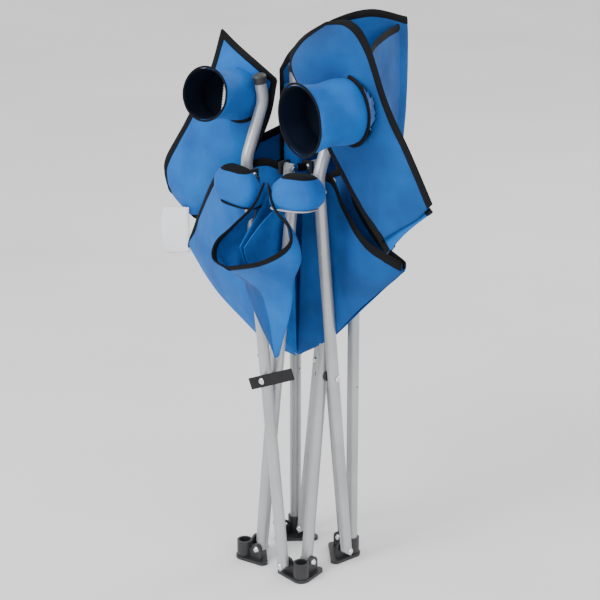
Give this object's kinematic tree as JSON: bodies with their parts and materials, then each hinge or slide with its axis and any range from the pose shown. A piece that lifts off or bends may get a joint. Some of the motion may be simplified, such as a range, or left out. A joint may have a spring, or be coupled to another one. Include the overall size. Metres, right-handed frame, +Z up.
{
  "type": "folding camp chair",
  "caption": "Folding camp chair standing nearly closed: crossed steel tube legs on plastic feet, with cloth seat, back, arms and cup holders.",
  "frame": {"origin": "on the ground, under the middle of the whole chair's box as it stands nearly folded", "axes": "+Z up, -Y to the sitter's front, +X to the sitter's left"},
  "size_m": [0.5966, 0.4594, 0.9],
  "materials": {
    "tube": "silver-grey powder coat, satin",
    "plastic": "black moulded plastic",
    "rivet": "bright zinc-plated steel",
    "cloth": "royal blue woven polyester",
    "binding": "black woven edge binding",
    "lining": "dark coated back of the cloth",
    "mesh": "light knitted mesh",
    "webbing": "black webbing strap"
  },
  "bodies": {
    "foot_front_left": {"foot_front_left": "plastic", "foot_rivets_front_left": "rivet"},
    "front_leg_outer": {"front_leg_outer": "tube", "front_cross_rivet": "rivet", "front_cross_spacer": "plastic", "closure_strap": "webbing"},
    "front_leg_inner": {"front_leg_inner": "tube"},
    "foot_front_right": {"foot_front_right": "plastic", "foot_rivets_front_right": "rivet"},
    "corner_front_right": {"front_bracket_right": "plastic", "seat_rivets_front_right": "rivet", "seat_pocket_right": "cloth"},
    "corner_front_left": {"front_bracket_left": "plastic", "seat_rivets_front_left": "rivet", "seat_pocket_left": "cloth"},
    "right_leg_inner": {"right_leg_inner": "tube", "right_cross_rivet": "rivet", "right_cross_spacer": "plastic"},
    "right_arm_leg": {"right_arm_leg": "tube", "arm_post_right": "tube", "arm_post_cap_right": "plastic"},
    "foot_rear_right": {"foot_rear_right": "plastic", "foot_rivets_rear_right": "rivet", "rear_post_right": "tube", "rear_post_cap_right": "plastic"},
    "corner_rear_right": {"rear_slider_right": "plastic", "seat_rivets_rear_right": "rivet"},
    "left_leg_inner": {"left_leg_inner": "tube", "left_cross_rivet": "rivet", "left_cross_spacer": "plastic"},
    "left_arm_leg": {"left_arm_leg": "tube", "arm_post_left": "tube", "arm_post_cap_left": "plastic"},
    "foot_rear_left": {"foot_rear_left": "plastic", "foot_rivets_rear_left": "rivet", "rear_post_left": "tube", "rear_post_cap_left": "plastic"},
    "corner_rear_left": {"rear_slider_left": "plastic", "seat_rivets_rear_left": "rivet"},
    "rear_leg_outer": {"rear_leg_outer": "tube", "rear_cross_rivet": "rivet", "rear_cross_spacer": "plastic"},
    "rear_leg_inner": {"rear_leg_inner": "tube"},
    "seat_left_front": {"seat_left_front": "cloth"},
    "seat_left_rear": {"seat_left_rear": "cloth"},
    "seat_right_front": {"seat_right_front": "cloth"},
    "seat_right_rear": {"seat_right_rear": "cloth"},
    "seat_rear_left": {"seat_rear_left": "cloth"},
    "seat_rear_right": {"seat_rear_right": "cloth"},
    "seat_front_left": {"seat_front_left": "cloth"},
    "seat_front_right": {"seat_front_right": "cloth"},
    "back_left": {"back_left": "cloth"},
    "back_right": {"back_right": "cloth"},
    "arm_front_right": {"arm_front_right": "cloth", "cup_right": "cloth"},
    "arm_rear_right": {"arm_rear_right": "cloth", "mesh_pocket": "mesh"},
    "arm_front_left": {"arm_front_left": "cloth", "cup_left": "cloth"},
    "arm_rear_left": {"arm_rear_left": "cloth"}
  },
  "joints": [
    {"name": "fold", "type": "hinge", "parent": "foot_front_left", "child": "front_leg_outer", "pos_m": [0.0512, -0.12618, 0.022], "axis": [0, -1, 0], "range_deg": [-1.5, 39.5], "deforming": ["closure_strap"]},
    {"name": "front_cross", "type": "hinge", "parent": "front_leg_outer", "child": "front_leg_inner", "pos_m": [0.0157, -0.12618, 0.34003], "axis": [0, 1, 0], "range_deg": [-3.01, 79.04]},
    {"name": "foot_front_right_pivot", "type": "hinge", "parent": "front_leg_inner", "child": "foot_front_right", "pos_m": [-0.0198, -0.12618, 0.022], "axis": [0, -1, 0], "range_deg": [-1.5, 39.52]},
    {"name": "corner_front_right_pivot", "type": "hinge", "parent": "front_leg_outer", "child": "corner_front_right", "pos_m": [-0.0198, -0.12618, 0.65805], "axis": [0, 1, 0], "range_deg": [-1.5, 39.52], "deforming": ["seat_pocket_right"]},
    {"name": "corner_front_left_pivot", "type": "hinge", "parent": "front_leg_inner", "child": "corner_front_left", "pos_m": [0.0512, -0.12618, 0.65805], "axis": [0, -1, 0], "range_deg": [-1.5, 39.52], "deforming": ["seat_pocket_left"]},
    {"name": "right_leg_pivot", "type": "hinge", "parent": "foot_front_right", "child": "right_leg_inner", "pos_m": [-0.0478, -0.09818, 0.022], "axis": [-1, 0, 0], "range_deg": [-1.5, 39.52]},
    {"name": "right_cross", "type": "hinge", "parent": "right_leg_inner", "child": "right_arm_leg", "pos_m": [-0.0478, -0.06268, 0.34003], "axis": [1, 0, 0], "range_deg": [-3.01, 79.04]},
    {"name": "foot_rear_right_pivot", "type": "hinge", "parent": "right_arm_leg", "child": "foot_rear_right", "pos_m": [-0.0478, -0.02718, 0.022], "axis": [-1, 0, 0], "range_deg": [-1.5, 39.52]},
    {"name": "corner_rear_right_pivot", "type": "hinge", "parent": "right_leg_inner", "child": "corner_rear_right", "pos_m": [-0.0478, -0.02718, 0.65805], "axis": [1, 0, 0], "range_deg": [-1.5, 39.52]},
    {"name": "left_leg_pivot", "type": "hinge", "parent": "foot_front_left", "child": "left_leg_inner", "pos_m": [0.0792, -0.09818, 0.022], "axis": [-1, 0, 0], "range_deg": [-1.5, 39.52]},
    {"name": "left_cross", "type": "hinge", "parent": "left_leg_inner", "child": "left_arm_leg", "pos_m": [0.0792, -0.06268, 0.34003], "axis": [1, 0, 0], "range_deg": [-3.01, 79.04]},
    {"name": "foot_rear_left_pivot", "type": "hinge", "parent": "left_arm_leg", "child": "foot_rear_left", "pos_m": [0.0792, -0.02718, 0.022], "axis": [-1, 0, 0], "range_deg": [-1.5, 39.52]},
    {"name": "corner_rear_left_pivot", "type": "hinge", "parent": "left_leg_inner", "child": "corner_rear_left", "pos_m": [0.0792, -0.02718, 0.65805], "axis": [1, 0, 0], "range_deg": [-1.5, 39.52]},
    {"name": "rear_leg_pivot", "type": "hinge", "parent": "foot_rear_left", "child": "rear_leg_outer", "pos_m": [0.0512, 0.00082, 0.022], "axis": [0, -1, 0], "range_deg": [-1.5, 39.52]},
    {"name": "rear_cross", "type": "hinge", "parent": "rear_leg_outer", "child": "rear_leg_inner", "pos_m": [0.0157, 0.00082, 0.34003], "axis": [0, 1, 0], "range_deg": [-3.01, 79.04]},
    {"name": "seat_left_front_hinge", "type": "hinge", "parent": "corner_front_left", "child": "seat_left_front", "pos_m": [0.0352, -0.08218, 0.65805], "axis": [0.8737, 0.3502, 0.3378], "range_deg": [-3.54, 93.09], "deforming": ["seat_left_front"]},
    {"name": "seat_left_rear_hinge", "type": "hinge", "parent": "corner_rear_left", "child": "seat_left_rear", "pos_m": [0.0352, -0.04318, 0.65805], "axis": [-0.8737, 0.3502, -0.3378], "range_deg": [-3.54, 93.09], "deforming": ["seat_left_rear"]},
    {"name": "seat_right_front_hinge", "type": "hinge", "parent": "corner_front_right", "child": "seat_right_front", "pos_m": [-0.0038, -0.08218, 0.65805], "axis": [0.8737, -0.3502, -0.3378], "range_deg": [-3.54, 93.09], "deforming": ["seat_right_front"]},
    {"name": "seat_right_rear_hinge", "type": "hinge", "parent": "corner_rear_right", "child": "seat_right_rear", "pos_m": [-0.0038, -0.04318, 0.65805], "axis": [-0.8737, -0.3502, 0.3378], "range_deg": [-3.54, 93.09], "deforming": ["seat_right_rear"]},
    {"name": "seat_rear_left_hinge", "type": "hinge", "parent": "corner_rear_left", "child": "seat_rear_left", "pos_m": [0.0352, -0.04318, 0.65805], "axis": [-0.3502, 0.8737, 0.3378], "range_deg": [-3.54, 93.09], "deforming": ["seat_rear_left"]},
    {"name": "seat_rear_right_hinge", "type": "hinge", "parent": "corner_rear_right", "child": "seat_rear_right", "pos_m": [-0.0038, -0.04318, 0.65805], "axis": [-0.3502, -0.8737, -0.3378], "range_deg": [-3.54, 93.09], "deforming": ["seat_rear_right"]},
    {"name": "seat_front_left_hinge", "type": "hinge", "parent": "corner_front_left", "child": "seat_front_left", "pos_m": [0.01605, -0.07294, 0.65425], "axis": [0.3308, 0.8708, -0.3637], "range_deg": [-3.77, 99.2], "deforming": ["seat_front_left"]},
    {"name": "seat_front_right_hinge", "type": "hinge", "parent": "corner_front_right", "child": "seat_front_right", "pos_m": [0.01535, -0.07294, 0.65425], "axis": [0.3308, -0.8708, 0.3637], "range_deg": [-3.77, 99.2], "deforming": ["seat_front_right"]},
    {"name": "back_left_hinge", "type": "hinge", "parent": "foot_rear_left", "child": "back_left", "pos_m": [0.0792, 0.00082, 0.6], "axis": [0, 0, 1], "range_deg": [-2.54, 66.81], "deforming": ["back_left"]},
    {"name": "back_right_hinge", "type": "hinge", "parent": "foot_rear_right", "child": "back_right", "pos_m": [-0.0478, 0.00082, 0.6], "axis": [0, 0, -1], "range_deg": [-3.19, 83.89], "deforming": ["back_right"]},
    {"name": "arm_front_right_hinge", "type": "hinge", "parent": "rear_leg_inner", "child": "arm_front_right", "pos_m": [-0.22386, -0.20017, 0.46803], "axis": [0.8405, -0.5379, 0.0644], "range_deg": [-4.47, 117.56], "deforming": ["arm_front_right", "cup_right"]},
    {"name": "arm_rear_right_hinge", "type": "hinge", "parent": "foot_rear_right", "child": "arm_rear_right", "pos_m": [-0.07142, -0.06285, 0.74373], "axis": [-0.637, -0.589, 0.4974], "range_deg": [-3.39, 89.06], "deforming": ["arm_rear_right", "mesh_pocket"]},
    {"name": "arm_front_left_hinge", "type": "hinge", "parent": "left_arm_leg", "child": "arm_front_left", "pos_m": [0.08323, -0.05661, 0.89472], "axis": [0.7984, 0.5821, 0.154], "range_deg": [-2.51, 65.89], "deforming": ["arm_front_left", "cup_left"]},
    {"name": "arm_rear_left_hinge", "type": "hinge", "parent": "foot_rear_left", "child": "arm_rear_left", "pos_m": [0.08313, -0.07364, 0.75638], "axis": [-0.5395, 0.618, -0.5719], "range_deg": [-2.83, 74.3], "deforming": ["arm_rear_left"]}
  ],
  "couplings": [
    {"joint": "front_cross", "follows": "fold", "ratio": 2},
    {"joint": "foot_front_right_pivot", "follows": "fold", "ratio": 1},
    {"joint": "corner_front_right_pivot", "follows": "fold", "ratio": 1},
    {"joint": "corner_front_left_pivot", "follows": "fold", "ratio": 1},
    {"joint": "right_leg_pivot", "follows": "fold", "ratio": 1},
    {"joint": "right_cross", "follows": "fold", "ratio": 2},
    {"joint": "foot_rear_right_pivot", "follows": "fold", "ratio": 1},
    {"joint": "corner_rear_right_pivot", "follows": "fold", "ratio": 1},
    {"joint": "left_leg_pivot", "follows": "fold", "ratio": 1},
    {"joint": "left_cross", "follows": "fold", "ratio": 2},
    {"joint": "foot_rear_left_pivot", "follows": "fold", "ratio": 1},
    {"joint": "corner_rear_left_pivot", "follows": "fold", "ratio": 1},
    {"joint": "rear_leg_pivot", "follows": "fold", "ratio": 1},
    {"joint": "rear_cross", "follows": "fold", "ratio": 2},
    {"joint": "seat_left_front_hinge", "follows": "fold", "ratio": 2.3554},
    {"joint": "seat_left_rear_hinge", "follows": "fold", "ratio": 2.3554},
    {"joint": "seat_right_front_hinge", "follows": "fold", "ratio": 2.3554},
    {"joint": "seat_right_rear_hinge", "follows": "fold", "ratio": 2.3554},
    {"joint": "seat_rear_left_hinge", "follows": "fold", "ratio": 2.3554},
    {"joint": "seat_rear_right_hinge", "follows": "fold", "ratio": 2.3554},
    {"joint": "seat_front_left_hinge", "follows": "fold", "ratio": 2.5101},
    {"joint": "seat_front_right_hinge", "follows": "fold", "ratio": 2.5101},
    {"joint": "back_left_hinge", "follows": "fold", "ratio": 1.6904},
    {"joint": "back_right_hinge", "follows": "fold", "ratio": 2.1227},
    {"joint": "arm_front_right_hinge", "follows": "fold", "ratio": 2.9747},
    {"joint": "arm_rear_right_hinge", "follows": "fold", "ratio": 2.2535},
    {"joint": "arm_front_left_hinge", "follows": "fold", "ratio": 1.6674},
    {"joint": "arm_rear_left_hinge", "follows": "fold", "ratio": 1.88}
  ]
}
